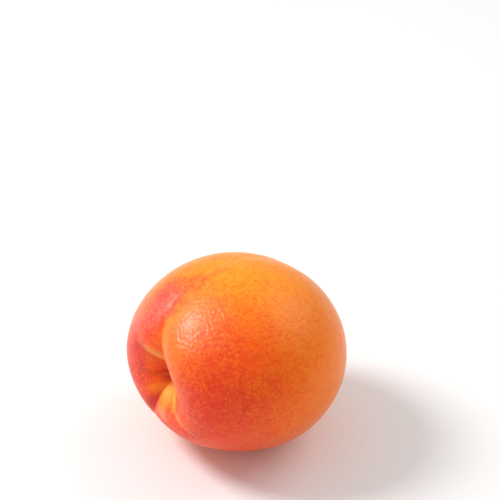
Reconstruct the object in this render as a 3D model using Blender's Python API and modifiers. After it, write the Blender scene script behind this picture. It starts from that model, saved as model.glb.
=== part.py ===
"""An apricot lying on its side: the fruit, grown in one piece, and the woody stub of its stalk.

Metres, +Z up. The fruit's own axis is level: the stem end looks along -X and the blossom end along +X.
The suture, the crease between the two lobes, runs over the top, rolled a little towards +Y.
The origin is on the surface the fruit lies on, in the middle of the small flat spot that it rests on.

The fruit's surface is given by its distance from the core in every direction. A direction has a polar
angle, 0 at the stem end and pi at the blossom end, and an azimuth about the axis, 0 at the top and
growing towards -Y.
"""
from collections import namedtuple
from math import acos, atan2, cos, exp, hypot, pi, radians, sin, sqrt

import bmesh
import bpy
from mathutils import Matrix, Vector

# Driving dimensions: distances from the core to the skin, before the cavity and the creases.
STEM_END = 0.0274
BLOSSOM_END = 0.0271
CHEEK = 0.0277
CROWN = 0.02375
CORE = Vector((-0.00130, -0.00035, 0.02275))

# The stem cavity: its depth as a share of the skin's distance, its width as a polar angle, its shape.
CAVITY_SHARE = 0.36
CAVITY_WIDTH = 0.305
CAVITY_SHAPE = 1.9

# The suture: a shallow seam all the way, and a deep cleft where it runs into the cavity.
SUTURE_AZIMUTH = radians(-17)
SEAM_DEPTH = 0.00035
CLEFT_DEPTH = 0.0043
CLEFT_REACH = 0.72
CREASE_WIDTH = 0.0013
TROUGH_WIDTH = 0.0051
CREASE_SHARE = 0.45

# The dimple at the blossom end.
DIMPLE_DEPTH = 0.0008
DIMPLE_WIDTH = 0.11

# Broad swellings and hollows of the flesh: polar angle, azimuth, their spreads, height.
Swelling = namedtuple("Swelling", "polar azimuth polar_spread azimuth_spread height")
SWELLINGS = (
    Swelling(0.55, radians(42), 0.32, radians(34), 0.0011),
    Swelling(1.10, radians(170), 0.55, radians(50), -0.0021),
    Swelling(1.90, radians(90), 0.70, radians(60), -0.0008),
    Swelling(1.45, radians(-175), 0.40, radians(45), 0.0004),
)

# Folds that run out of the cavity: azimuth, how far it turns at the bottom, depth, the widths of the
# two banks (the first on the side of lower azimuth), and the polar angles between which it is deep.
Fold = namedtuple("Fold", "azimuth turn depth low_bank high_bank start end")
FOLDS = (
    Fold(radians(-158.5), radians(92), 0.0018, 0.0016, 0.0008, 0.16, 0.66),
    Fold(radians(-101), radians(90), 0.0010, 0.0009, 0.0009, 0.08, 0.38),
    Fold(radians(-95), radians(210), 0.0006, 0.0012, 0.0010, 0.10, 0.42),
    Fold(radians(-57), radians(80), 0.0016, 0.0028, 0.0011, 0.10, 0.58),
    Fold(radians(28), 0.0, 0.0006, 0.0010, 0.0010, 0.05, 0.34),
    Fold(radians(66), 0.0, 0.0006, 0.0010, 0.0010, 0.05, 0.40),
    Fold(radians(102), radians(-70), 0.0008, 0.0006, 0.0024, 0.12, 0.82),
    Fold(radians(119), radians(200), 0.0010, 0.0006, 0.0020, 0.12, 0.74),
)
FOLD_TURN_REACH = 0.15
CREASE_ROUNDING = 0.00013

# The grid of skin: meridians, rings, and how much closer the rings lie at the stem end.
MERIDIANS = 100
RINGS = 50
RING_CROWDING = 0.32

# The stub of the stalk, in a socket at the bottom of the cavity, in metres from the cavity's floor.
STUB_RADIUS = 0.0011
STUB_HEIGHT = 0.0015
STUB_ROOT = 0.0010
STUB_SIDES = 20
SOCKET_GAP = 0.0003
FLOOR = STEM_END * (1 - CAVITY_SHARE)


def wrap(angle):
    """The angle brought between -pi and pi."""
    return (angle + pi) % (2 * pi) - pi


def ease(low, high, value):
    """0 below low and 1 above high, with a smooth step between; low may be the larger one."""
    share = min(max((value - low) / (high - low), 0.0), 1.0)
    return share * share * (3 - 2 * share)


def crease(distance, width):
    """A groove's profile: 1 on its line, falling off over the width, with a slightly rounded bottom."""
    return exp(-(hypot(distance, CREASE_ROUNDING) - CREASE_ROUNDING) / width)


def body_distance(direction):
    """The skin's distance on the plain body, an ellipsoid whose two ends differ a little."""
    mean = (BLOSSOM_END + STEM_END) / 2
    half_length = mean + (BLOSSOM_END - STEM_END) / 2 * direction.x
    squares = (direction.x / half_length) ** 2 + (direction.y / CHEEK) ** 2 + (direction.z / CROWN) ** 2
    return 1 / sqrt(squares)


def suture_depth(across, polar):
    """How deep the suture is at a distance across it."""
    cleft = CLEFT_DEPTH * exp(-((polar / CLEFT_REACH) ** 2.2)) * ease(0.02, 0.3, polar)
    depth = (SEAM_DEPTH + cleft) * ease(pi, 2.8, polar)
    trough = exp(-((across / TROUGH_WIDTH) ** 2))
    return depth * (CREASE_SHARE * crease(across, CREASE_WIDTH) + (1 - CREASE_SHARE) * trough)


def fold_depth(fold, distance, polar, azimuth):
    """How deep one fold of the cavity is in a direction."""
    line = fold.azimuth + fold.turn * exp(-polar / FOLD_TURN_REACH)
    across = distance * sin(polar) * wrap(azimuth - line)
    width = fold.low_bank if across < 0 else fold.high_bank
    stretch = ease(0.3 * fold.start, fold.start, polar) * ease(fold.end, 0.5 * fold.end, polar)
    return fold.depth * stretch * crease(across, width)


def swelling_height(swelling, polar, azimuth):
    """How high one swelling stands in a direction."""
    along = (polar - swelling.polar) / swelling.polar_spread
    around = wrap(azimuth - swelling.azimuth) / swelling.azimuth_spread
    return swelling.height * exp(-along * along - around * around)


def skin_point(polar, azimuth):
    """The point of the skin in a direction from the core."""
    direction = Vector((-cos(polar), -sin(polar) * sin(azimuth), sin(polar) * cos(azimuth)))
    plain = body_distance(direction)
    distance = plain * (1 - CAVITY_SHARE * exp(-((polar / CAVITY_WIDTH) ** CAVITY_SHAPE)))
    off_suture = wrap(azimuth - SUTURE_AZIMUTH)
    if abs(off_suture) < pi / 2:
        distance -= suture_depth(plain * sin(polar) * sin(off_suture), polar)
    distance += sum(swelling_height(swelling, polar, azimuth) for swelling in SWELLINGS)
    distance -= sum(fold_depth(fold, plain, polar, azimuth) for fold in FOLDS)
    distance -= DIMPLE_DEPTH * exp(-(((pi - polar) / DIMPLE_WIDTH) ** 2))
    point = CORE + direction * distance
    point.z = max(point.z, 0.0)
    return point


def new_material(name, color, roughness):
    """A plain Principled material."""
    material = bpy.data.materials.new(name)
    material.use_nodes = True
    shader = material.node_tree.nodes["Principled BSDF"]
    shader.inputs["Base Color"].default_value = (*color, 1)
    shader.inputs["Roughness"].default_value = roughness
    return material


def new_object(name, mesh, collection, material=None):
    """An object of this mesh in the collection, shaded smooth."""
    mesh.shade_smooth()
    mesh.set_sharp_from_angle(angle=radians(50))
    if material:
        mesh.materials.append(material)
    item = bpy.data.objects.new(name, mesh)
    collection.objects.link(item)
    return item


def make_fruit(collection):
    """The fruit: a sphere with its poles at the stem and blossom ends, raised to the skin."""
    grid = bmesh.new()
    bmesh.ops.create_uvsphere(grid, u_segments=MERIDIANS, v_segments=RINGS, radius=1)
    for vertex in grid.verts:
        share = acos(min(max(vertex.co.z, -1.0), 1.0)) / pi
        polar = pi * share * (1 - RING_CROWDING * (1 - share))
        vertex.co = skin_point(polar, -atan2(vertex.co.y, vertex.co.x))
    mesh = bpy.data.meshes.new("fruit")
    grid.to_mesh(mesh)
    grid.free()
    return new_object("fruit", mesh, collection, new_material("skin", (0.87, 0.24, 0.04), 0.45))


def cut_socket(fruit, cutters):
    """The socket that the stub grows out of, its corners kept between the fruit's meridians."""
    above = 0.003
    depth = STUB_ROOT + SOCKET_GAP
    radius = STUB_RADIUS + SOCKET_GAP
    between = Matrix.Rotation(pi / MERIDIANS, 4, "Z")
    grid = bmesh.new()
    bmesh.ops.create_cone(grid, cap_ends=True, segments=STUB_SIDES, radius1=radius, radius2=radius,
                          depth=depth + above, matrix=between)
    mesh = bpy.data.meshes.new("socket_cutter")
    grid.to_mesh(mesh)
    grid.free()
    cutter = new_object("socket_cutter", mesh, cutters)
    cutter.rotation_euler = (0, -pi / 2, 0)
    cutter.location = CORE - Vector((FLOOR + (above - depth) / 2, 0, 0))
    cutter.hide_render = True
    cutter.display_type = "WIRE"
    cut = fruit.modifiers.new("socket", "BOOLEAN")
    cut.operation = "DIFFERENCE"
    cut.solver = "EXACT"
    cut.object = cutter


def make_stub(collection):
    """The stub: a turned peg with a thick rim below its broken end, its axis along -X."""
    outline = (
        (0.00, STUB_HEIGHT),
        (0.55, STUB_HEIGHT),
        (0.85, 0.92 * STUB_HEIGHT),
        (1.00, 0.72 * STUB_HEIGHT),
        (0.78, 0.40 * STUB_HEIGHT),
        (0.92, 0.0),
        (0.85, -STUB_ROOT),
        (0.00, -STUB_ROOT),
    )
    mesh = bpy.data.meshes.new("stub_outline")
    points = [(share * STUB_RADIUS, 0, height) for share, height in outline]
    mesh.from_pydata(points, [(i, i + 1) for i in range(len(points) - 1)], [])
    stub = new_object("stem_stub", mesh, collection, new_material("stalk", (0.25, 0.13, 0.045), 0.8))
    stub.rotation_euler = (0, -pi / 2, 0)
    stub.location = CORE - Vector((FLOOR, 0, 0))
    turn = stub.modifiers.new("turn", "SCREW")
    turn.axis = "Z"
    turn.steps = STUB_SIDES
    turn.render_steps = STUB_SIDES
    turn.use_merge_vertices = True
    turn.merge_threshold = 0.00001
    return stub


def new_collection(name):
    """A collection linked to the scene."""
    collection = bpy.data.collections.new(name)
    bpy.context.scene.collection.children.link(collection)
    return collection


def main():
    for item in list(bpy.data.objects):
        bpy.data.objects.remove(item, do_unlink=True)
    apricot = new_collection("apricot")
    cutters = new_collection("cutters")
    fruit = make_fruit(apricot)
    cut_socket(fruit, cutters)
    make_stub(apricot)


main()
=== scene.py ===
"""The looks of an apricot: its fine skin, the stub of its stalk, the floor, the lights and the camera.

The skin is raised from a sphere by a Geometry Nodes tree that holds the same rule as the solid: its
distance from the core in every direction. A direction has a polar angle, 0 at the stem end and pi at the
blossom end, and an azimuth about the fruit's axis, 0 at the top and growing towards -Y. The materials
read the same two angles, so that blush, seam and cavity stay where the flesh has them.
"""
from collections import namedtuple
from math import atan, cos, pi, radians, sin

import bmesh
import bpy
from mathutils import Matrix, Vector


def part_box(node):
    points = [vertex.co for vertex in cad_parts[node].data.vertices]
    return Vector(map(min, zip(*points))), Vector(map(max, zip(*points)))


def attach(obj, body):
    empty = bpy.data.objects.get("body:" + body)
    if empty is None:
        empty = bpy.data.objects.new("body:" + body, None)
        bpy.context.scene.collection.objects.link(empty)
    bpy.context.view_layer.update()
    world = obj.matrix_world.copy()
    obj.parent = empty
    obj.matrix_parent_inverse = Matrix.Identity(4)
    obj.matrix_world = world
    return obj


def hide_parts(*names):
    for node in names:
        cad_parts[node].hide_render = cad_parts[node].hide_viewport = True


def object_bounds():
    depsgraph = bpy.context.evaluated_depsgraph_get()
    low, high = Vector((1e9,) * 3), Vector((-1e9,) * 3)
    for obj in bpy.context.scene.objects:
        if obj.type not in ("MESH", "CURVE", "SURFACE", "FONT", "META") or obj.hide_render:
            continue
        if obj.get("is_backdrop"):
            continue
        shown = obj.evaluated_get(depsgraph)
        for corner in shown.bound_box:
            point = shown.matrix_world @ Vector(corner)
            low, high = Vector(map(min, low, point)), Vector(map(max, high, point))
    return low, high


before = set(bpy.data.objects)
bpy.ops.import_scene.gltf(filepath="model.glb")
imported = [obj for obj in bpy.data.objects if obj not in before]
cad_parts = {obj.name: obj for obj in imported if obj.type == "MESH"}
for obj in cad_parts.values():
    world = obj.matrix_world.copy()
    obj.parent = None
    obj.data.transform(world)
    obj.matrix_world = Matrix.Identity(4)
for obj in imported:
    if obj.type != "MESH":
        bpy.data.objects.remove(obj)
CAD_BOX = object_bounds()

MM = 0.001

# Distances from the core to the skin, before the cavity and the creases.
STEM_END = 27.4 * MM
BLOSSOM_END = 27.1 * MM
CHEEK = 27.7 * MM
CROWN = 23.75 * MM

# The stem cavity: its depth as a share of the skin's distance, its width as a polar angle, and how
# steep its wall is.
CAVITY_SHARE = 0.36
CAVITY_WIDTH = 0.305
CAVITY_SHAPE = 1.9

# The suture: a shallow seam all the way, and a deep cleft where it runs into the cavity.
SUTURE_AZIMUTH = radians(-17)
SEAM_DEPTH = 0.35 * MM
CLEFT_DEPTH = 4.3 * MM
CLEFT_REACH = 0.72
CLEFT_SHAPE = 2.2
CREASE_WIDTH = 1.3 * MM
TROUGH_WIDTH = 5.1 * MM
CREASE_SHARE = 0.45
CREASE_ROUNDING = 0.13 * MM

# The dimple at the blossom end.
DIMPLE_DEPTH = 0.8 * MM
DIMPLE_WIDTH = 0.11

# Broad swellings and hollows of the flesh: polar angle, azimuth, their spreads, height.
Swelling = namedtuple("Swelling", "polar azimuth polar_spread azimuth_spread height")
SWELLINGS = (
    Swelling(0.55, radians(42), 0.32, radians(34), 1.1 * MM),
    Swelling(1.10, radians(170), 0.55, radians(50), -2.1 * MM),
    Swelling(1.90, radians(90), 0.70, radians(60), -0.8 * MM),
    Swelling(1.45, radians(-175), 0.40, radians(45), 0.4 * MM),
)

# Folds that run out of the cavity: azimuth, how far it turns at the bottom, depth, the widths of the
# two banks (the first on the side of lower azimuth), and the polar angles between which it is deep. Then
# how much yellow is painted on the crest beside it (partly its own colour, partly a painted highlight
# where the crest catches the light), how far across towards higher azimuth that lies, and how wide it is.
Fold = namedtuple("Fold", "azimuth turn depth low_bank high_bank start end glow glow_at glow_width",
                  defaults=(0.0, 0.0, MM))
FOLDS = (
    Fold(radians(-158.5), radians(92), 1.8 * MM, 1.6 * MM, 0.8 * MM, 0.16, 0.66),
    Fold(radians(-101), radians(90), 1.0 * MM, 0.9 * MM, 0.9 * MM, 0.08, 0.38),
    Fold(radians(-95), radians(210), 0.6 * MM, 1.2 * MM, 1.0 * MM, 0.10, 0.42),
    Fold(radians(-57), radians(80), 1.6 * MM, 2.8 * MM, 1.1 * MM, 0.10, 0.58, 0.85, 2.5 * MM, 1.9 * MM),
    Fold(radians(28), 0.0, 0.6 * MM, 1.0 * MM, 1.0 * MM, 0.05, 0.34),
    Fold(radians(66), 0.0, 0.6 * MM, 1.0 * MM, 1.0 * MM, 0.05, 0.40),
    Fold(radians(102), radians(-70), 0.8 * MM, 0.6 * MM, 2.4 * MM, 0.12, 0.82, 0.25, -0.5 * MM, 0.6 * MM),
    Fold(radians(119), radians(200), 1.0 * MM, 0.6 * MM, 2.0 * MM, 0.12, 0.74, 0.9, -0.9 * MM, 1.5 * MM),
)
FOLD_TURN_REACH = 0.15

# Fine relief: wrinkles in the cavity, soft lumps all over, and a collar of skin round the stub.
WRINKLE_HEIGHT = 0.30 * MM
WRINKLE_SIZE = 1.6 * MM
LUMP_HEIGHT = 0.10 * MM
LUMP_SIZE = 8.0 * MM
COLLAR_HEIGHT = 0.25 * MM
COLLAR_RADIUS = 1.45 * MM
COLLAR_WIDTH = 0.4 * MM

# The stub of the stalk: how deep its root goes into the flesh, and its outline from the root to the
# middle of its broken end, as shares of its radius at heights above the cavity's floor.
FLOOR_OF_CAVITY = STEM_END * (1 - CAVITY_SHARE)
STUB_RADIUS = 1.1 * MM
STUB_HEIGHT = 1.5 * MM
STUB_ROOT = 1.0 * MM
STUB_OUTLINE = (
    (0.95, -STUB_ROOT), (1.10, -0.1 * MM), (1.02, 0.25 * MM), (0.80, 0.55 * MM), (0.76, 0.80 * MM),
    (0.92, 1.05 * MM), (1.00, 1.22 * MM), (0.96, 1.38 * MM), (0.80, STUB_HEIGHT), (0.58, 1.42 * MM),
    (0.34, 1.26 * MM), (0.15, 1.20 * MM),
)
STUB_SIDES = 72
STUB_RIBS = 9

# The fine skin's grid, and how far its rings crowd towards the stem end.
MERIDIANS = 480
RINGS = 200
RING_CROWDING = 0.30

# The camera, how high above the core it aims, the width that fills a share of its frame, and where the
# fruit stands in the frame as shares of the frame's width from the middle.
CAMERA_AZIMUTH = radians(-36)
CAMERA_ELEVATION = radians(37)
LENS = 130.0
SENSOR = 36.0
AIM_ABOVE_CORE = 0.75 * MM
FRUIT_WIDTH = 54 * MM
FRUIT_SHARE_OF_FRAME = 0.4374
FRUIT_RIGHT = -0.0252
FRUIT_DOWN = 0.2010

# The light: a pale room, and round softboxes that face the fruit from an azimuth and an elevation.
ROOM_STRENGTH = 0.54
Softbox = namedtuple("Softbox", "name azimuth elevation distance size power")
SOFTBOXES = (
    Softbox("key", radians(-136), radians(48), 0.55, 0.21, 2.3),
    Softbox("fill", radians(78), radians(44), 0.90, 0.70, 2.2),
)
FLOOR_REACH = 3.0


class Number:
    """A value worked out at every point of a surface: arithmetic on it adds Math nodes to its tree."""

    def __init__(self, wiring, socket):
        self.wiring = wiring
        self.socket = socket

    def math(self, operation, *others):
        return self.wiring.math(operation, self, *others)

    def __add__(self, other):
        return self.math("ADD", other)

    __radd__ = __add__

    def __sub__(self, other):
        return self.math("SUBTRACT", other)

    def __rsub__(self, other):
        return self.wiring.math("SUBTRACT", other, self)

    def __mul__(self, other):
        return self.math("MULTIPLY", other)

    __rmul__ = __mul__

    def __truediv__(self, other):
        return self.math("DIVIDE", other)

    def __rtruediv__(self, other):
        return self.wiring.math("DIVIDE", other, self)

    def __pow__(self, other):
        return self.math("POWER", other)

    def __neg__(self):
        return self * -1.0

    def sin(self):
        return self.math("SINE")

    def cos(self):
        return self.math("COSINE")

    def exp(self):
        return self.math("EXPONENT")

    def wrapped(self):
        """The angle brought between -pi and pi."""
        return self.math("WRAP", pi, -pi)

    def ease(self, low, high):
        """0 below low and 1 above high, with a smooth step between; low may be the larger one."""
        inputs = {"Value": self, "From Min": low, "From Max": high}
        node = self.wiring.node("ShaderNodeMapRange", inputs, interpolation_type="SMOOTHSTEP")
        return Number(self.wiring, node.outputs[0])

    def bell(self, middle, spread):
        """1 where the value is at the middle, falling off over the spread."""
        return (-(((self - middle) / spread) ** 2.0)).exp()


class Wiring:
    """A node tree being wired: adds nodes, and links or sets their inputs by name or place."""

    def __init__(self, tree):
        self.tree = tree

    def plug(self, value, slot):
        if isinstance(value, Number):
            value = value.socket
        if isinstance(value, bpy.types.NodeSocket):
            self.tree.links.new(value, slot)
        else:
            slot.default_value = value

    def node(self, kind, inputs=None, **settings):
        node = self.tree.nodes.new(kind)
        for name, value in settings.items():
            setattr(node, name, value)
        for name, value in (inputs or {}).items():
            self.plug(value, node.inputs[name])
        return node

    def math(self, operation, *terms):
        node = self.node("ShaderNodeMath", dict(enumerate(terms)), operation=operation)
        return Number(self, node.outputs[0])

    def vector(self, x, y, z):
        return self.node("ShaderNodeCombineXYZ", {"X": x, "Y": y, "Z": z}).outputs["Vector"]

    def vector_math(self, operation, *terms):
        node = self.node("ShaderNodeVectorMath", dict(enumerate(terms)), operation=operation)
        return node.outputs["Vector"]

    def scaled(self, vector, factor):
        inputs = {"Vector": vector, "Scale": factor}
        return self.node("ShaderNodeVectorMath", inputs, operation="SCALE").outputs["Vector"]

    def split(self, vector):
        node = self.node("ShaderNodeSeparateXYZ", {"Vector": vector})
        return [Number(self, node.outputs[name]) for name in "XYZ"]

    def noise(self, vector, size, detail=2.0, roughness=0.5):
        """Smooth noise about 0, from -1 to 1, with features of this size in metres."""
        inputs = {"Vector": vector, "Scale": 1 / size, "Detail": detail, "Roughness": roughness}
        node = self.node("ShaderNodeTexNoise", inputs)
        return Number(self, node.outputs[0]) * 2.0 - 1.0

    def mix(self, share, first, second):
        """The first colour where the share is 0, the second where it is 1."""
        return self.node("ShaderNodeMix", {0: share, 6: first, 7: second}, data_type="RGBA").outputs[2]

    def group(self, tree, inputs, output=None):
        """A group node of that tree; its named output as a number, or the node itself."""
        node = self.node(self.group_kind(), None, node_tree=tree)
        for name, value in inputs.items():
            self.plug(value, node.inputs[name])
        return Number(self, node.outputs[output]) if output else node

    def group_kind(self):
        kinds = {"GeometryNodeTree": "GeometryNodeGroup", "ShaderNodeTree": "ShaderNodeGroup"}
        return kinds[self.tree.bl_idname]


def new_group(name, kind, inputs, outputs):
    """An empty node group with these named sockets: its wiring, its inputs by name, and its output node."""
    tree = bpy.data.node_groups.new(name, kind)
    for label, (socket_kind, value) in inputs.items():
        socket = tree.interface.new_socket(label, in_out="INPUT", socket_type=socket_kind)
        if value is not None:
            socket.default_value = value
    for label, socket_kind in outputs.items():
        tree.interface.new_socket(label, in_out="OUTPUT", socket_type=socket_kind)
    wiring = Wiring(tree)
    entry = tree.nodes.new("NodeGroupInput")
    exit_node = tree.nodes.new("NodeGroupOutput")
    given = {}
    for label, (socket_kind, _) in inputs.items():
        socket = entry.outputs[label]
        given[label] = Number(wiring, socket) if socket_kind == "NodeSocketFloat" else socket
    return wiring, given, exit_node


def floats(**values):
    """Float sockets named by these words, with their first values."""
    return {name.replace("_", " ").title(): ("NodeSocketFloat", value) for name, value in values.items()}


# ---------------------------------------------------------------------------------------------- form

def crease(distance, width):
    """A groove's profile: 1 on its line, falling off over the width, with a slightly rounded bottom."""
    rounded = (distance * distance + CREASE_ROUNDING ** 2) ** 0.5 - CREASE_ROUNDING
    return (-(rounded / width)).exp()


def fold_group():
    """How deep one fold of the cavity is in a direction, and how much yellow is painted on the crest beside
    it: partly its own colour, partly a painted highlight where it catches the light.
    """
    sockets = floats(polar=0.0, azimuth=0.0, distance=0.0, line=0.0, turn=0.0, depth=0.0, low_bank=MM,
                     high_bank=MM, start=0.1, end=0.5, glow=0.0, glow_at=0.0, glow_width=MM)
    wiring, given, exit_node = new_group("fold", "GeometryNodeTree", sockets,
                                         {"Depth": "NodeSocketFloat", "Crest": "NodeSocketFloat"})
    polar = given["Polar"]
    line = given["Line"] + given["Turn"] * (-(polar / FOLD_TURN_REACH)).exp()
    across = given["Distance"] * polar.sin() * (given["Azimuth"] - line).wrapped()
    on_low_side = across.math("LESS_THAN", 0.0)
    width = given["High Bank"] + (given["Low Bank"] - given["High Bank"]) * on_low_side
    begins = polar.ease(given["Start"] * 0.3, given["Start"])
    stretch = begins * polar.ease(given["End"], given["End"] * 0.5)
    wiring.plug(given["Depth"] * stretch * crease(across, width), exit_node.inputs["Depth"])
    # The crest's yellow: partly its own colour, partly a painted highlight.
    crest = given["Glow"] * stretch * across.bell(given["Glow At"], given["Glow Width"])
    wiring.plug(crest, exit_node.inputs["Crest"])
    return wiring.tree


def swelling_group():
    """How high one swelling stands in a direction."""
    sockets = floats(polar=0.0, azimuth=0.0, middle_polar=1.0, middle_azimuth=0.0, polar_spread=0.5,
                     azimuth_spread=0.5, height=0.0)
    wiring, given, exit_node = new_group("swelling", "GeometryNodeTree", sockets,
                                         {"Height": "NodeSocketFloat"})
    along = given["Polar"].bell(given["Middle Polar"], given["Polar Spread"])
    around = (given["Azimuth"] - given["Middle Azimuth"]).wrapped().bell(0.0, given["Azimuth Spread"])
    wiring.plug(given["Height"] * along * around, exit_node.inputs["Height"])
    return wiring.tree


def skin_tree():
    """The tree that raises a sphere to the skin, and stores its folds, their crests and the wrinkles."""
    sockets = {"Meridians": ("NodeSocketInt", 32), "Rings": ("NodeSocketInt", 16),
               "Core": ("NodeSocketVector", None), "Skin": ("NodeSocketMaterial", None)}
    sockets |= floats(stem_end=STEM_END, blossom_end=BLOSSOM_END, cheek=CHEEK, crown=CROWN,
                      wrinkle_height=0.0, lump_height=0.0, collar_height=0.0)
    wiring, given, exit_node = new_group("apricot skin", "GeometryNodeTree", sockets,
                                         {"Geometry": "NodeSocketGeometry"})
    sphere = wiring.node("GeometryNodeMeshUVSphere",
                         {"Segments": given["Meridians"], "Rings": given["Rings"], "Radius": 1.0})
    x, y, z = wiring.split(wiring.node("GeometryNodeInputPosition").outputs[0])
    share = z.math("ARCCOSINE") / pi
    polar = share * (1.0 - RING_CROWDING * (1.0 - share)) * pi
    azimuth = -y.math("ARCTAN2", x)

    way = (-polar.cos(), -(polar.sin() * azimuth.sin()), polar.sin() * azimuth.cos())
    direction = wiring.vector(*way)
    mean = (given["Blossom End"] + given["Stem End"]) * 0.5
    half_length = mean + (given["Blossom End"] - given["Stem End"]) * 0.5 * way[0]
    half_axes = (half_length, given["Cheek"], given["Crown"])
    along_squared, aside_squared, up_squared = ((step / half) ** 2.0 for step, half in zip(way, half_axes))
    plain = (along_squared + aside_squared + up_squared) ** -0.5
    distance = plain * (1.0 - CAVITY_SHARE * (-((polar / CAVITY_WIDTH) ** CAVITY_SHAPE)).exp())

    off_suture = (azimuth - SUTURE_AZIMUTH).wrapped()
    across = plain * polar.sin() * off_suture.sin()
    cleft = CLEFT_DEPTH * (-((polar / CLEFT_REACH) ** CLEFT_SHAPE)).exp() * polar.ease(0.02, 0.3)
    depth = (SEAM_DEPTH + cleft) * polar.ease(pi, 2.8) * off_suture.cos().math("GREATER_THAN", 0.0)
    trough = across.bell(0.0, TROUGH_WIDTH)
    profile = CREASE_SHARE * crease(across, CREASE_WIDTH) + (1 - CREASE_SHARE) * trough
    distance = distance - depth * profile

    swelling = swelling_group()
    for lump in SWELLINGS:
        inputs = {"Polar": polar, "Azimuth": azimuth, "Height": lump.height,
                  "Middle Polar": lump.polar, "Middle Azimuth": lump.azimuth,
                  "Polar Spread": lump.polar_spread, "Azimuth Spread": lump.azimuth_spread}
        distance = distance + wiring.group(swelling, inputs, "Height")

    fold = fold_group()
    folded = 0.0
    crest = 0.0
    for line in FOLDS:
        inputs = {"Polar": polar, "Azimuth": azimuth, "Distance": plain, "Line": line.azimuth,
                  "Turn": line.turn, "Depth": line.depth, "Low Bank": line.low_bank,
                  "High Bank": line.high_bank, "Start": line.start, "End": line.end,
                  "Glow": line.glow, "Glow At": line.glow_at, "Glow Width": line.glow_width}
        groove = wiring.group(fold, inputs)
        folded = folded + Number(wiring, groove.outputs["Depth"])
        crest = crest + Number(wiring, groove.outputs["Crest"])
    distance = distance - folded

    # Wrinkles that run down the cavity's wall, soft lumps all over, the stub's collar and the dimple.
    around = wiring.vector(azimuth.cos() * 5.0 * MM, azimuth.sin() * 5.0 * MM, polar * 4.0 * MM)
    puckered = wiring.noise(around, WRINKLE_SIZE, detail=3.0)
    puckered = puckered * polar.ease(0.05, 0.12) * polar.ease(0.52, 0.2)
    distance = distance + puckered * given["Wrinkle Height"]
    lumps = wiring.noise(wiring.scaled(direction, plain), LUMP_SIZE, detail=1.0)
    distance = distance + lumps * given["Lump Height"] * polar.ease(0.1, 0.5)
    ring = (distance * polar.sin()).bell(COLLAR_RADIUS, COLLAR_WIDTH)
    distance = distance + ring * given["Collar Height"] * polar.math("LESS_THAN", 1.0)
    distance = distance - DIMPLE_DEPTH * polar.bell(pi, DIMPLE_WIDTH)

    # Nothing sinks below the surface that the fruit rests on.
    x, y, z = wiring.split(wiring.vector_math("ADD", wiring.scaled(direction, distance), given["Core"]))
    resting = wiring.vector(x, y, z.math("MAXIMUM", 0.0))

    geometry = sphere.outputs["Mesh"]
    stored = {"fold": folded / MM, "crest": crest, "pucker": puckered}
    for name, value in stored.items():
        keep = wiring.node("GeometryNodeStoreNamedAttribute", {"Geometry": geometry, "Name": name},
                           data_type="FLOAT", domain="POINT")
        value_slot = next(slot for slot in keep.inputs if slot.name == "Value" and slot.type == "VALUE")
        wiring.plug(value, value_slot)
        geometry = keep.outputs["Geometry"]
    for kind, inputs in (
        ("GeometryNodeSetPosition", {"Position": resting}),
        ("GeometryNodeSetShadeSmooth", {}),
        ("GeometryNodeRealizeInstances", {}),
        ("GeometryNodeSetMaterial", {"Material": given["Skin"]}),
    ):
        step = wiring.node(kind, inputs | {0: geometry})
        geometry = step.outputs[0]
    wiring.plug(geometry, exit_node.inputs["Geometry"])
    return wiring.tree


def grown(name, tree, values):
    """A plain mesh object made by a Geometry Nodes tree with these input values."""
    seed = bpy.data.objects.new(name + "_seed", bpy.data.meshes.new(name + "_seed"))
    bpy.context.scene.collection.objects.link(seed)
    modifier = seed.modifiers.new("grow", "NODES")
    modifier.node_group = tree
    for item in tree.interface.items_tree:
        if item.in_out == "INPUT" and item.name in values:
            modifier[item.identifier] = values[item.name]
    bpy.context.view_layer.update()
    evaluated = seed.evaluated_get(bpy.context.evaluated_depsgraph_get())
    mesh = bpy.data.meshes.new_from_object(evaluated, preserve_all_data_layers=True,
                                           depsgraph=bpy.context.evaluated_depsgraph_get())
    bpy.data.objects.remove(seed)
    piece = bpy.data.objects.new(name, mesh)
    bpy.context.scene.collection.objects.link(piece)
    return piece


def make_skin(core, material):
    """The skin of the whole fruit, with its core at this point."""
    values = {"Meridians": MERIDIANS, "Rings": RINGS, "Core": core, "Skin": material,
              "Wrinkle Height": WRINKLE_HEIGHT, "Lump Height": LUMP_HEIGHT, "Collar Height": COLLAR_HEIGHT}
    return grown("apricot_skin", skin_tree(), values)


def make_stub(core, material):
    """The stalk's stub: a ribbed peg with a thick rim and a broken, hollowed end, its axis along -X."""
    grid = bmesh.new()
    rows = []
    for share, height in STUB_OUTLINE:
        row = []
        for side in range(STUB_SIDES):
            angle = 2 * pi * side / STUB_SIDES
            rib = 1 + 0.06 * cos(STUB_RIBS * angle) + 0.035 * sin(4 * angle + 2.0) + 0.02 * cos(23 * angle)
            tilt = 0.07 * MM * sin(2 * angle + 1.0) + 0.05 * MM * cos(5 * angle) if height > MM else 0.0
            radius = share * STUB_RADIUS * rib
            along = FLOOR_OF_CAVITY + height + tilt
            row.append(grid.verts.new(core + Vector((-along, radius * cos(angle), radius * sin(angle)))))
        rows.append(row)
    for low, high in zip(rows, rows[1:]):
        for side in range(STUB_SIDES):
            beside = (side + 1) % STUB_SIDES
            grid.faces.new((low[side], low[beside], high[beside], high[side]))
    grid.faces.new(rows[0])
    grid.faces.new(rows[-1])
    bmesh.ops.recalc_face_normals(grid, faces=grid.faces)
    mesh = bpy.data.meshes.new("stalk_stub")
    grid.to_mesh(mesh)
    grid.free()
    mesh.shade_smooth()
    mesh.materials.append(material)
    piece = bpy.data.objects.new("stalk_stub", mesh)
    bpy.context.scene.collection.objects.link(piece)
    return piece


# ---------------------------------------------------------------------------------------- materials

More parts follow.
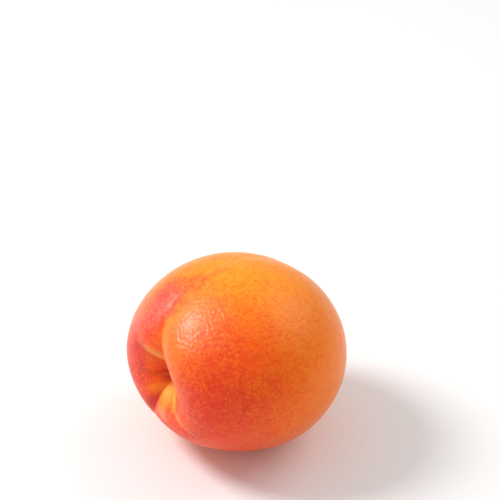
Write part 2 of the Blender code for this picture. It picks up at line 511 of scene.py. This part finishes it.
YELLOW_ORANGE = (0.97, 0.300, 0.012, 1)
ORANGE = (0.99, 0.195, 0.002, 1)
DEEP_ORANGE = (0.98, 0.116, 0.000, 1)
UNDERSIDE_SHADE_BROWN = (0.70, 0.094, 0.010, 1)
BLUSH = (0.88, 0.055, 0.010, 1)
PINK_SHEEN = (0.80, 0.105, 0.076, 1)
CREASE_SHADE_RED = (0.70, 0.048, 0.040, 1)
DEEP_BLUSH = (0.62, 0.030, 0.008, 1)
SCARLET = (0.94, 0.080, 0.000, 1)
CAVITY_ORANGE = (0.90, 0.080, 0.000, 1)
GOLD = (0.97, 0.175, 0.000, 1)
PAINTED_SHADE_BROWN = (0.50, 0.060, 0.006, 1)
FLESH_YELLOW = (0.93, 0.400, 0.055, 1)
PALE_PINK_SHEEN = (0.88, 0.280, 0.170, 1)
SCAR_BROWN = (0.34, 0.120, 0.025, 1)
DRY_BARK = (0.30, 0.155, 0.050, 1)
DARK_BARK = (0.09, 0.038, 0.014, 1)
PAPER_WHITE = (0.90, 0.900, 0.895, 1)

# Patches of colour on the skin: polar angle, azimuth, their spreads, and how much of the colour they bring.
Patch = namedtuple("Patch", "polar azimuth polar_spread azimuth_spread share")

# The sun's side, over the top and the blossom end.
YELLOWS = (
    Patch(1.75, radians(-5), 0.80, radians(44), 1.0),
    Patch(0.75, radians(-4), 0.20, radians(7), 0.5),
    Patch(2.60, radians(40), 0.70, radians(120), 0.35),
)
# The near cheek and the underside.
DEEPER = (
    Patch(1.15, radians(62), 0.45, radians(38), 1.0),
    Patch(1.20, radians(150), 0.60, radians(60), 0.8),
)
# Low on the near cheek: a duller skin, with painted shade where less light reaches it.
SHADY_SIDE = (
    Patch(1.05, radians(118), 0.60, radians(21), 0.85),
)
# The blush round the stem end, and its tongue along the suture.
BLUSHES = (
    Patch(0.72, radians(78), 0.42, radians(42), 1.0),
    Patch(0.45, radians(150), 0.30, radians(60), 0.9),
    Patch(0.95, radians(135), 0.45, radians(32), 0.45),
    Patch(0.50, radians(-95), 0.32, radians(60), 1.0),
    Patch(0.82, radians(-26), 0.36, radians(11), 0.75),
    Patch(1.17, radians(-11), 0.24, radians(8), 0.5),
)
# Where the blush turns pink: a painted sheen of its velvet over the red.
PINK_SHEEN_PATCHES = (
    Patch(0.50, radians(-100), 0.25, radians(50), 0.8),
    Patch(0.70, radians(-40), 0.30, radians(22), 0.8),
    Patch(0.92, radians(-26), 0.26, radians(11), 0.6),
    Patch(0.42, radians(50), 0.16, radians(40), 0.4),
    Patch(0.48, radians(120), 0.20, radians(60), 0.45),
)
# Painted shade: the blush darker red in the creases at the cavity's rim.
CREASE_SHADE_PATCHES = (
    Patch(0.46, radians(-62), 0.13, radians(15), 0.75),
    Patch(0.38, radians(-149), 0.13, radians(14), 0.9),
    Patch(0.31, radians(-84), 0.06, radians(9), 0.5),
)
# Where the blush ends beside the suture, above the first fold.
FADED = (
    Patch(0.36, radians(-30), 0.20, radians(13), 0.9),
)
# The shoulders, where the bloom is rubbed off.
SHOULDERS = (
    Patch(0.88, radians(15), 0.38, radians(26), 1.0),
    Patch(0.74, radians(-38), 0.30, radians(20), 0.8),
)
# In the cavity: a golden hollow, painted shade in the flutes, and the pale bulge below with a painted pink
# sheen on its edge.
GOLDEN = (
    Patch(0.235, radians(-129), 0.070, radians(17), 0.95),
)
SHADED = (
    Patch(0.21, radians(-92), 0.07, radians(8), 0.55),
    Patch(0.17, radians(-76), 0.05, radians(20), 0.5),
    Patch(0.155, radians(-118), 0.035, radians(15), 0.55),
)
PALE = (
    Patch(0.20, radians(200), 0.07, radians(26), 1.0),
    Patch(0.28, radians(188), 0.09, radians(14), 0.5),
    Patch(0.20, radians(150), 0.09, radians(21), 0.75),
)
# A painted pink sheen on the edge of the pale bulge.
PALE_PINK_SHEEN_PATCHES = (
    Patch(0.375, radians(-177), 0.06, radians(13), 0.75),
)

# The ripples of the skin: the cells of their pattern, how many cross a cell, their height in steps of
# relief, and that step.
RIPPLE_CELL = 3.2 * MM
RIPPLES_PER_CELL = 3.0
RIPPLE_STEPS = 5.6
RELIEF_STEP = 0.05 * MM


def new_material(name):
    """A material with only its Principled shader: the material, its wiring and the shader."""
    material = bpy.data.materials.new(name)
    material.use_nodes = True
    return material, Wiring(material.node_tree), material.node_tree.nodes["Principled BSDF"]


def mottle_group():
    """Fine grain: a number about 0 that changes over the given size, in metres."""
    sockets = {"Vector": ("NodeSocketVector", None)} | floats(size=0.5 * MM)
    wiring, given, exit_node = new_group("mottle", "ShaderNodeTree", sockets, {"Grain": "NodeSocketFloat"})
    scale = 1.0 / given["Size"]
    coarse = wiring.node("ShaderNodeTexNoise", {"Vector": given["Vector"], "Scale": scale, "Detail": 2.0})
    fine = wiring.node("ShaderNodeTexNoise", {"Vector": given["Vector"], "Scale": scale * 2.3, "Detail": 1.0})
    grain = Number(wiring, coarse.outputs[0]) * 1.2 + Number(wiring, fine.outputs[0]) * 0.8 - 1.0
    wiring.plug(grain * 5.0, exit_node.inputs["Grain"])
    return wiring.tree


def place_group():
    """The two angles of a point of the fruit seen from its core."""
    sockets = {"Vector": ("NodeSocketVector", None), "Core": ("NodeSocketVector", None)}
    wiring, given, exit_node = new_group("place on the fruit", "ShaderNodeTree", sockets,
                                         {"Polar": "NodeSocketFloat", "Azimuth": "NodeSocketFloat"})
    way = wiring.vector_math("NORMALIZE", wiring.vector_math("SUBTRACT", given["Vector"], given["Core"]))
    x, y, z = wiring.split(way)
    wiring.plug((-x).math("ARCCOSINE"), exit_node.inputs["Polar"])
    wiring.plug((-y).math("ARCTAN2", z), exit_node.inputs["Azimuth"])
    return wiring.tree


def patch_group():
    """How far a direction lies inside one patch of colour."""
    sockets = floats(polar=0.0, azimuth=0.0, middle_polar=1.0, middle_azimuth=0.0, polar_spread=0.5,
                     azimuth_spread=0.5, share=1.0)
    wiring, given, exit_node = new_group("patch of colour", "ShaderNodeTree", sockets,
                                         {"Cover": "NodeSocketFloat"})
    along = (given["Polar"] - given["Middle Polar"]) / given["Polar Spread"]
    around = (given["Azimuth"] - given["Middle Azimuth"]).wrapped() / given["Azimuth Spread"]
    cover = (-((along * along + around * around) ** 1.3)).exp() * given["Share"]
    wiring.plug(cover, exit_node.inputs["Cover"])
    return wiring.tree


def skin_material(core, mottle):
    """Orange skin with a red blush round the stem end, and orange and yellow in the cavity."""
    material, wiring, shader = new_material("apricot_skin")
    where = wiring.node("ShaderNodeTexCoord").outputs["Object"]
    place = wiring.group(place_group(), {"Vector": where, "Core": core})
    polar = Number(wiring, place.outputs["Polar"])
    azimuth = Number(wiring, place.outputs["Azimuth"])
    patches = wiring.noise(where, 9 * MM, detail=2.0)
    cloud = wiring.noise(where, 2.4 * MM, detail=3.0, roughness=0.6)
    grain = wiring.group(mottle, {"Vector": where, "Size": 0.75 * MM}, "Grain")
    fold, crest, pucker = (
        Number(wiring, wiring.node("ShaderNodeAttribute", attribute_name=name).outputs["Fac"])
        for name in ("fold", "crest", "pucker")
    )
    patch = patch_group()

    # How far the patches' outlines wander.
    wander_along = patches * 0.16 + cloud * 0.05
    wander_around = (wiring.noise(where, 7 * MM, detail=2.0) * 0.20 + cloud * 0.06) / polar.sin()

    def cover(marks, loose=1.0):
        """How much of a colour its patches bring together; loose is the share of the wander they take."""
        along = polar + wander_along * loose
        around = azimuth + wander_around * loose
        left_bare = 1.0
        for mark in marks:
            inputs = {"Polar": along, "Azimuth": around, "Middle Polar": mark.polar,
                      "Middle Azimuth": mark.azimuth, "Polar Spread": mark.polar_spread,
                      "Azimuth Spread": mark.azimuth_spread, "Share": mark.share}
            left_bare = (1.0 - wiring.group(patch, inputs, "Cover")) * left_bare
        return 1.0 - left_bare

    yellow = cover(YELLOWS) + cloud * 0.16 + grain * 0.08
    colour = wiring.mix(yellow, ORANGE, YELLOW_ORANGE)
    deeper = cover(DEEPER) - cloud * 0.25 - grain * 0.10
    colour = wiring.mix(deeper, colour, DEEP_ORANGE)
    # Painted shade, low on the near cheek.
    colour = wiring.mix(cover(SHADY_SIDE), colour, UNDERSIDE_SHADE_BROWN)
    blush = cover(BLUSHES)
    colour = wiring.mix(blush - (grain * 0.12 + cloud * 0.4) * blush.ease(0.0, 0.3), colour, BLUSH)
    # A painted pink sheen of the velvet over the blush.
    pink_sheen = cover(PINK_SHEEN_PATCHES)
    colour = wiring.mix(pink_sheen * 0.9 + grain * 0.06, colour, PINK_SHEEN)
    # Painted shade in the creases at the cavity's rim.
    colour = wiring.mix(cover(CREASE_SHADE_PATCHES) - cloud * 0.1, colour, CREASE_SHADE_RED)
    colour = wiring.mix(cover(FADED), colour, SCARLET)
    shoulder = cover(SHOULDERS)
    # A painted pink sheen on the shoulders, under the highlight.
    colour = wiring.mix(shoulder * 0.22, colour, PINK_SHEEN)

    # The skin in the cavity never saw the sun: red in the folds, orange on the walls, and yellow on the
    # crests, partly their own colour and partly a painted highlight. Painted shade darkens its floor and the
    # hollows of its wrinkles.
    inside = (polar + cloud * 0.03).ease(0.36, 0.22)
    colour = wiring.mix(fold.ease(0.3, 1.6) * 0.35, colour, BLUSH)
    colour = wiring.mix(inside * 0.92, colour, CAVITY_ORANGE)
    # Painted shade, darker towards the cavity's floor and in the wrinkles' hollows.
    colour = wiring.mix((polar + cloud * 0.02).ease(0.24, 0.06) * 0.7, colour, PAINTED_SHADE_BROWN)
    colour = wiring.mix(pucker.ease(0.0, -0.45) * 0.5, colour, PAINTED_SHADE_BROWN)
    colour = wiring.mix(cover(GOLDEN, loose=0.25), colour, GOLD)
    # Painted shade in the flutes.
    colour = wiring.mix(cover(SHADED, loose=0.15), colour, PAINTED_SHADE_BROWN)
    colour = wiring.mix(cover(PALE, loose=0.25), colour, FLESH_YELLOW)
    # A painted pink sheen on the edge of the pale bulge.
    colour = wiring.mix(cover(PALE_PINK_SHEEN_PATCHES, loose=0.25), colour, PALE_PINK_SHEEN)
    # Yellow on the crests: partly their own colour, partly a painted highlight where they catch the light.
    colour = wiring.mix(crest * polar.ease(0.66, 0.34) * 0.9, colour, FLESH_YELLOW)

    # The scar of the blossom, at the far end.
    colour = wiring.mix((polar + cloud * 0.012).ease(pi - 0.045, pi - 0.012) * 0.8, colour, SCAR_BROWN)

    # Darker freckles in the blush, and the grain of the cells under the skin.
    freckles = (wiring.noise(where, 1.3 * MM, detail=1.0) - cloud * 0.3).ease(0.05, 0.62)
    colour = wiring.mix(freckles * (blush * 0.28 + deeper * 0.06), colour, DEEP_BLUSH)
    ripe = (blush + deeper).ease(0.0, 1.0)
    # In the pink patches the grain is stronger, partly painted glints of the highlight on the pores.
    light = grain * (0.10 + yellow * 0.05 + ripe * 0.07 + pink_sheen * 0.20) + cloud * (0.07 + ripe * 0.15)
    tint = wiring.vector(1.0 + light * 0.22, 1.0 + light, 1.0 + light * 1.4)
    wiring.plug(wiring.vector_math("MULTIPLY", colour, tint), shader.inputs["Base Color"])

    roughness = 0.32 + grain * 0.02 + inside * 0.25 + blush * 0.10
    wiring.plug(roughness, shader.inputs["Roughness"])

    # Relief: fine ripples of an even spacing, like a fingerprint's, over softer lumps.
    drift = wiring.node("ShaderNodeTexNoise", {"Vector": where, "Scale": 1 / (3.0 * MM), "Detail": 1.0})
    warped = wiring.vector_math("ADD", where, wiring.scaled(drift.outputs["Color"], 0.5 * MM))
    pattern = {"Vector": warped, "Scale": 1 / RIPPLE_CELL, "Frequency": RIPPLES_PER_CELL, "Anisotropy": 0.0}
    ripples = wiring.node("ShaderNodeTexGabor", pattern, gabor_type="3D")
    ripple = (Number(wiring, ripples.outputs["Value"]) - 0.5) * (0.4 + shoulder * 0.6)
    height = ripple * RIPPLE_STEPS + cloud * 0.9 + grain * 0.14
    bump = wiring.node("ShaderNodeBump", {"Height": height, "Strength": 1.0, "Distance": RELIEF_STEP})
    wiring.plug(bump.outputs["Normal"], shader.inputs["Normal"])

    # Where the bloom is rubbed off, the skin has a soft shine.
    wiring.plug(shoulder * 0.42, shader.inputs["Coat Weight"])
    shader.inputs["Coat Roughness"].default_value = 0.45

    shader.inputs["Subsurface Weight"].default_value = 0.25
    shader.inputs["Subsurface Radius"].default_value = (1.0, 0.35, 0.12)
    shader.inputs["Subsurface Scale"].default_value = 1.0 * MM
    shader.inputs["Specular IOR Level"].default_value = 0.24
    shader.inputs["Sheen Weight"].default_value = 0.015
    shader.inputs["Sheen Roughness"].default_value = 0.30
    shader.inputs["Sheen Tint"].default_value = (1.0, 0.85, 0.75, 1)
    return material


def stalk_material(mottle):
    """Dry bark whose fibres run along the stalk, in two browns."""
    material, wiring, shader = new_material("stalk_bark")
    where = wiring.node("ShaderNodeTexCoord").outputs["Object"]
    stretched = wiring.node("ShaderNodeMapping", {"Vector": where, "Scale": (0.25, 1.0, 1.0)})
    grain = wiring.group(mottle, {"Vector": stretched.outputs["Vector"], "Size": 0.16 * MM}, "Grain")
    shade = (grain * 0.9 + 0.45).ease(0.0, 1.0)
    wiring.plug(wiring.mix(shade, DARK_BARK, DRY_BARK), shader.inputs["Base Color"])
    wiring.plug(0.78 + grain * 0.1, shader.inputs["Roughness"])
    bump = wiring.node("ShaderNodeBump", {"Height": grain, "Strength": 1.0, "Distance": 0.03 * MM})
    wiring.plug(bump.outputs["Normal"], shader.inputs["Normal"])
    return material


def floor_material():
    """White paper, a little grey, with the faintest unevenness."""
    material, wiring, shader = new_material("floor_paper")
    where = wiring.node("ShaderNodeTexCoord").outputs["Object"]
    wiring.plug(0.85 + wiring.noise(where, 2.0 * MM) * 0.05, shader.inputs["Roughness"])
    shader.inputs["Base Color"].default_value = PAPER_WHITE
    return material


# ------------------------------------------------------------------------------- floor, lights, camera

def view_direction(azimuth, elevation):
    """The way from the fruit towards something seen at this azimuth and elevation."""
    return Vector((sin(azimuth) * cos(elevation), -cos(azimuth) * cos(elevation), sin(elevation)))


def make_floor():
    """A level sheet of paper, far wider than the view."""
    mesh = bpy.data.meshes.new("floor")
    corners = [(x * FLOOR_REACH, y * FLOOR_REACH, 0) for x, y in ((-1, -1), (1, -1), (1, 1), (-1, 1))]
    mesh.from_pydata(corners, [], [(0, 1, 2, 3)])
    mesh.materials.append(floor_material())
    floor = bpy.data.objects.new("floor", mesh)
    bpy.context.scene.collection.objects.link(floor)
    floor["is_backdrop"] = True


def facing(way):
    """A turn that makes a lamp or a camera look back along this way."""
    return way.to_track_quat("Z", "Y").to_matrix().to_4x4()


def add_softbox(box, target):
    """A round softbox that faces the target."""
    light = bpy.data.lights.new(box.name, "AREA")
    light.shape = "DISK"
    light.size = box.size
    light.energy = box.power
    way = view_direction(box.azimuth, box.elevation)
    lamp = bpy.data.objects.new(box.name, light)
    lamp.matrix_world = Matrix.Translation(target + way * box.distance) @ facing(way)
    bpy.context.scene.collection.objects.link(lamp)


def light_studio(target):
    """The pale room and its softboxes."""
    world = bpy.data.worlds.new("studio")
    bpy.context.scene.world = world
    world.use_nodes = True
    background = world.node_tree.nodes["Background"]
    background.inputs["Color"].default_value = (1.0, 1.0, 1.0, 1)
    background.inputs["Strength"].default_value = ROOM_STRENGTH
    for box in SOFTBOXES:
        add_softbox(box, target)
    bpy.context.scene.view_settings.view_transform = "Standard"


def make_camera(aim):
    """A camera that looks down at the stem end's side, turned so that the fruit stands low in its frame."""
    way = view_direction(CAMERA_AZIMUTH, CAMERA_ELEVATION)
    distance = FRUIT_WIDTH / FRUIT_SHARE_OF_FRAME * LENS / SENSOR
    turn = Matrix.Rotation(atan(FRUIT_RIGHT * SENSOR / LENS), 4, "Y")
    tilt = Matrix.Rotation(atan(FRUIT_DOWN * SENSOR / LENS), 4, "X")
    data = bpy.data.cameras.new("camera")
    data.lens = LENS
    data.sensor_width = SENSOR
    data.clip_start = 0.01
    camera = bpy.data.objects.new("camera", data)
    camera.matrix_world = Matrix.Translation(aim + way * distance) @ facing(way) @ turn @ tilt
    bpy.context.scene.collection.objects.link(camera)
    bpy.context.scene.camera = camera


def main():
    """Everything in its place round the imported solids."""
    stub_low, stub_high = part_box("stem_stub")
    fruit_low, fruit_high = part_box("fruit")
    core = (stub_low + stub_high) / 2
    core.x = stub_high.x + FLOOR_OF_CAVITY - STUB_ROOT
    middle = Vector((0, 0, fruit_high.z / 2))

    make_camera(core + Vector((0, 0, AIM_ABOVE_CORE)))
    light_studio(middle)
    make_floor()

    mottle = mottle_group()
    skin = make_skin(core, skin_material(core, mottle))
    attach(skin, "root")
    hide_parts("fruit")

    stub = make_stub(core, stalk_material(mottle))
    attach(stub, "root")
    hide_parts("stem_stub")

    boxes = {"cad": CAD_BOX, "visual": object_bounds()}
    boxes = {name: [list(corner) for corner in box] for name, box in boxes.items()}


main()
